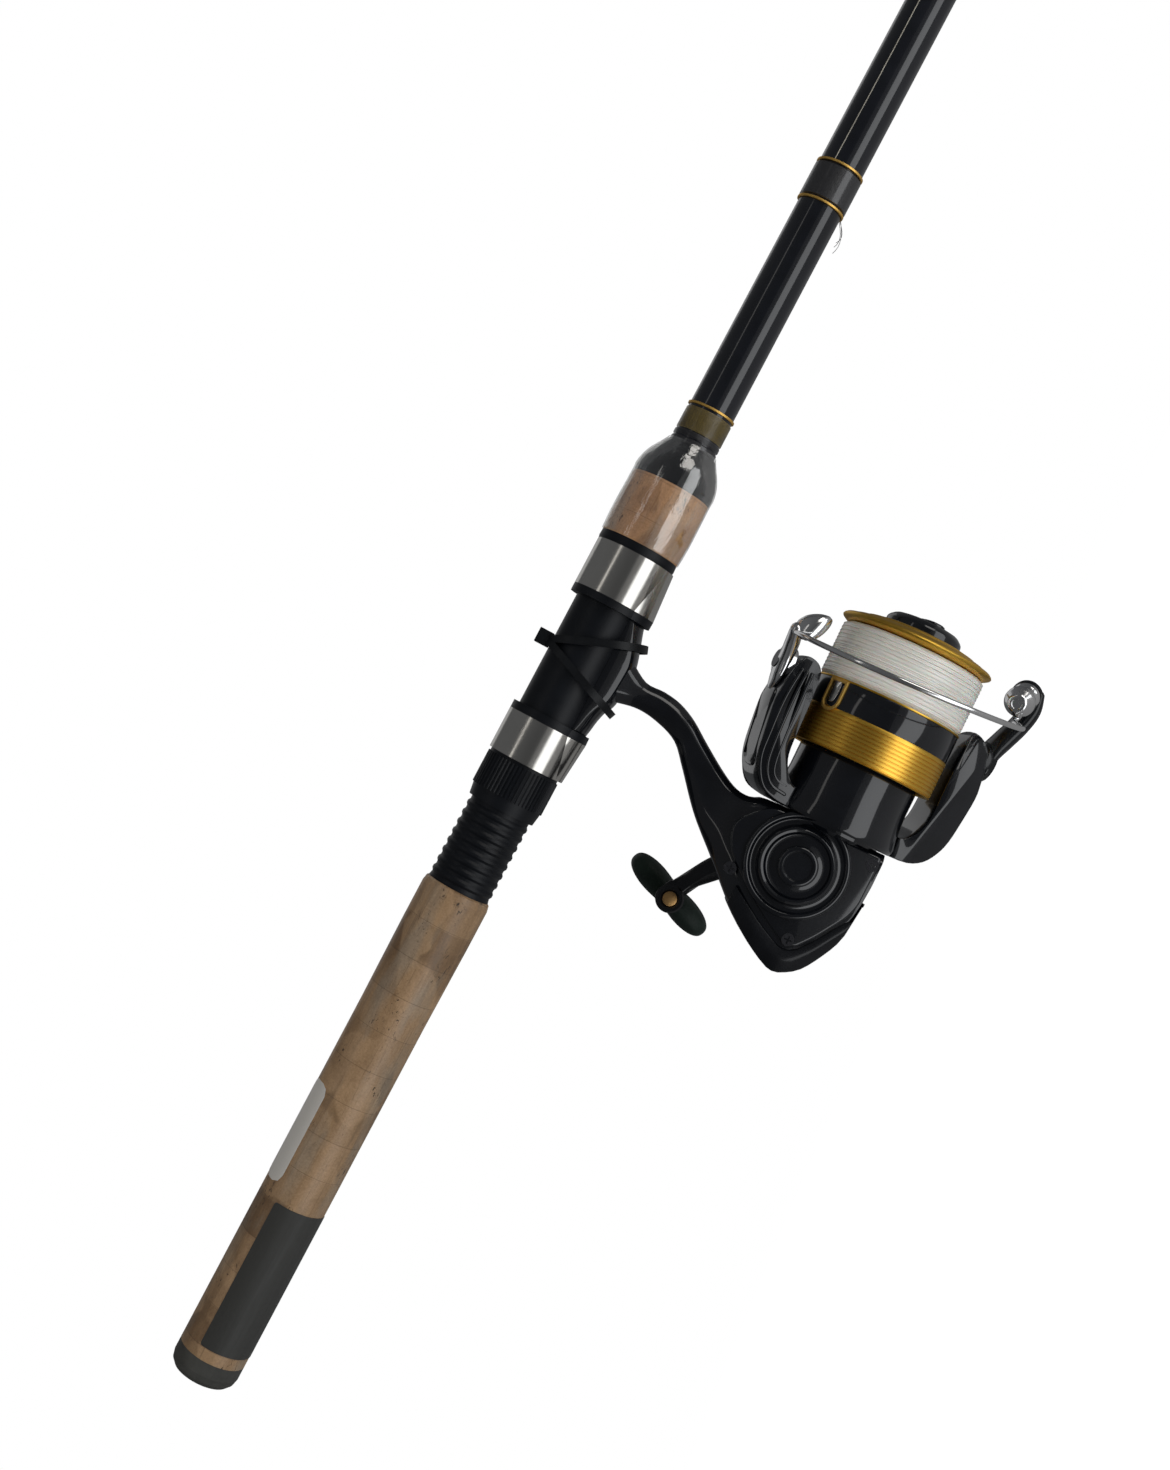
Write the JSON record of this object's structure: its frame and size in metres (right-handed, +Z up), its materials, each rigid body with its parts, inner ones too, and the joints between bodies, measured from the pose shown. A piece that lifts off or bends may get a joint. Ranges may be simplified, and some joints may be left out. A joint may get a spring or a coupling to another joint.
{
  "type": "spinning fishing rod with reel",
  "caption": "Two-section spinning rod with cork handle, screw-down reel seat and a fixed-spool reel with turning rotor, opening bail, crank and sliding spool.",
  "frame": {"origin": "centre of the flat butt face", "axes": "+X along the rod towards the tip, +Z up with the reel hanging below, +Y to the crank side"},
  "size_m": [2.1335, 0.1231, 0.1508],
  "materials": {
    "cork": "sanded cork",
    "seat_black": "black, satin",
    "butt_rubber": "dark grey, soft",
    "blank": "graphite tube, black gloss lacquer",
    "gloss_black": "black gloss",
    "stainless": "polished",
    "thread_olive": "wound thread under lacquer",
    "thread_black": "wound thread under lacquer",
    "gold_trim": "gold anodised",
    "guide_grey": "dark grey",
    "ceramic": "polished",
    "nylon": "black nylon",
    "cast_zinc": "cast, machined",
    "brass": "machined",
    "knob_rubber": "dark green-black",
    "chrome": "polished",
    "spool_gold": "gold anodised, turned",
    "line": "clear nylon monofilament",
    "felt": "pressed felt",
    "arbor": "foam"
  },
  "bodies": {
    "rod_handle": {"butt_cap": "butt_rubber", "rear_grip": "cork", "butt_blank": "blank", "seat_arbors": "arbor", "seat_barrel": "seat_black", "fixed_hood": "stainless", "fixed_hood_lip": "seat_black", "seat_ring": "seat_black", "foregrip": "cork", "foregrip_dome": "gloss_black", "handle_wrap": "thread_olive", "butt_wraps": "thread_black", "trim_rings": "gold_trim", "stripper_frame": "guide_grey", "stripper_ring": "ceramic", "cable_tie": "nylon", "reel_body": "gloss_black", "side_cover": "gloss_black", "rear_guard": "gloss_black", "cover_screws": "guide_grey", "screw_cap": "gloss_black", "axle_bearings": "stainless", "pinion_bearing": "stainless", "roller_clutch": "stainless", "slider_rail": "stainless"},
    "hood": {"sliding_hood": "stainless", "sliding_hood_lip": "seat_black"},
    "nut": {"locking_nut": "seat_black"},
    "tip_section": {"tip_blank": "blank", "tip_wraps": "thread_black", "guide_frames": "guide_grey", "guide_rings": "ceramic", "tip_top": "guide_grey", "tip_top_ring": "ceramic"},
    "crank": {"drive_gear": "cast_zinc", "gear_axle": "brass", "handle_arm": "gloss_black", "knob_rivet": "brass"},
    "knob": {"handle_knob": "knob_rubber"},
    "oscillator": {"oscillation_gear": "nylon"},
    "rotor": {"pinion": "brass", "rotor": "gloss_black", "rotor_nut": "brass", "arm_covers": "gloss_black", "bail_pivots": "stainless"},
    "bail": {"bail_arm": "gloss_black", "bail_holder": "chrome", "bail_wire": "chrome", "roller_cap": "chrome"},
    "roller": {"line_roller": "chrome"},
    "shaft": {"main_shaft": "stainless", "slider": "cast_zinc"},
    "spool": {"spool": "spool_gold", "spool_band": "gloss_black", "line_clip": "gold_trim", "line_winding": "line", "drag_washers": "felt"},
    "drag_knob": {"drag_knob": "gloss_black"}
  },
  "joints": [
    {"name": "crank_spin", "type": "hinge", "parent": "rod_handle", "child": "crank", "pos_m": [0.23009, 0, -0.0888], "axis": [0, 1, 0], "continuous": true},
    {"name": "knob_spin", "type": "hinge", "parent": "crank", "child": "knob", "pos_m": [0.19943, 0, -0.06234], "axis": [0, 1, 0], "continuous": true},
    {"name": "rotor_spin", "type": "hinge", "parent": "rod_handle", "child": "rotor", "pos_m": [0.2303, 0, -0.0943], "axis": [0.9993, 0, 0.0384], "continuous": true},
    {"name": "oscillator_spin", "type": "hinge", "parent": "rod_handle", "child": "oscillator", "pos_m": [0.224, 0, -0.09975], "axis": [0, 1, 0], "continuous": true},
    {"name": "shaft_slide", "type": "slide", "parent": "rod_handle", "child": "shaft", "axis": [0.9993, 0, 0.0384], "range_m": [0, 0.014]},
    {"name": "spool_drag_spin", "type": "hinge", "parent": "shaft", "child": "spool", "pos_m": [0.2303, 0, -0.0943], "axis": [0.9993, 0, 0.0384], "continuous": true},
    {"name": "drag_knob_turn", "type": "hinge", "parent": "shaft", "child": "drag_knob", "pos_m": [0.2303, 0, -0.0943], "axis": [0.9993, 0, 0.0384], "continuous": true},
    {"name": "bail_swing", "type": "hinge", "parent": "rotor", "child": "bail", "pos_m": [0.28526, 0, -0.09219], "axis": [-0.0371, -0.2588, 0.9652], "range_deg": [0, 100]},
    {"name": "roller_spin", "type": "hinge", "parent": "bail", "child": "roller", "pos_m": [0.30975, 0.00487, -0.12905], "axis": [-0.3857, -0.8833, 0.2666], "continuous": true},
    {"name": "hood_slide", "type": "slide", "parent": "rod_handle", "child": "hood", "axis": [1, 0, 0], "range_m": [-0.012, 0]},
    {"name": "nut_turn", "type": "hinge", "parent": "hood", "child": "nut", "pos_m": [0.21, 0, 0], "axis": [1, 0, 0], "range_deg": [-1309, 0]},
    {"name": "tip_slide", "type": "slide", "parent": "rod_handle", "child": "tip_section", "axis": [1, 0, 0], "range_m": [0, 0.065]}
  ],
  "couplings": [
    {"joint": "rotor_spin", "follows": "crank_spin", "ratio": 5},
    {"joint": "oscillator_spin", "follows": "crank_spin", "ratio": -0.38889},
    {"joint": "hood_slide", "follows": "nut_turn", "m_per_rad": 0.00052521}
  ]
}
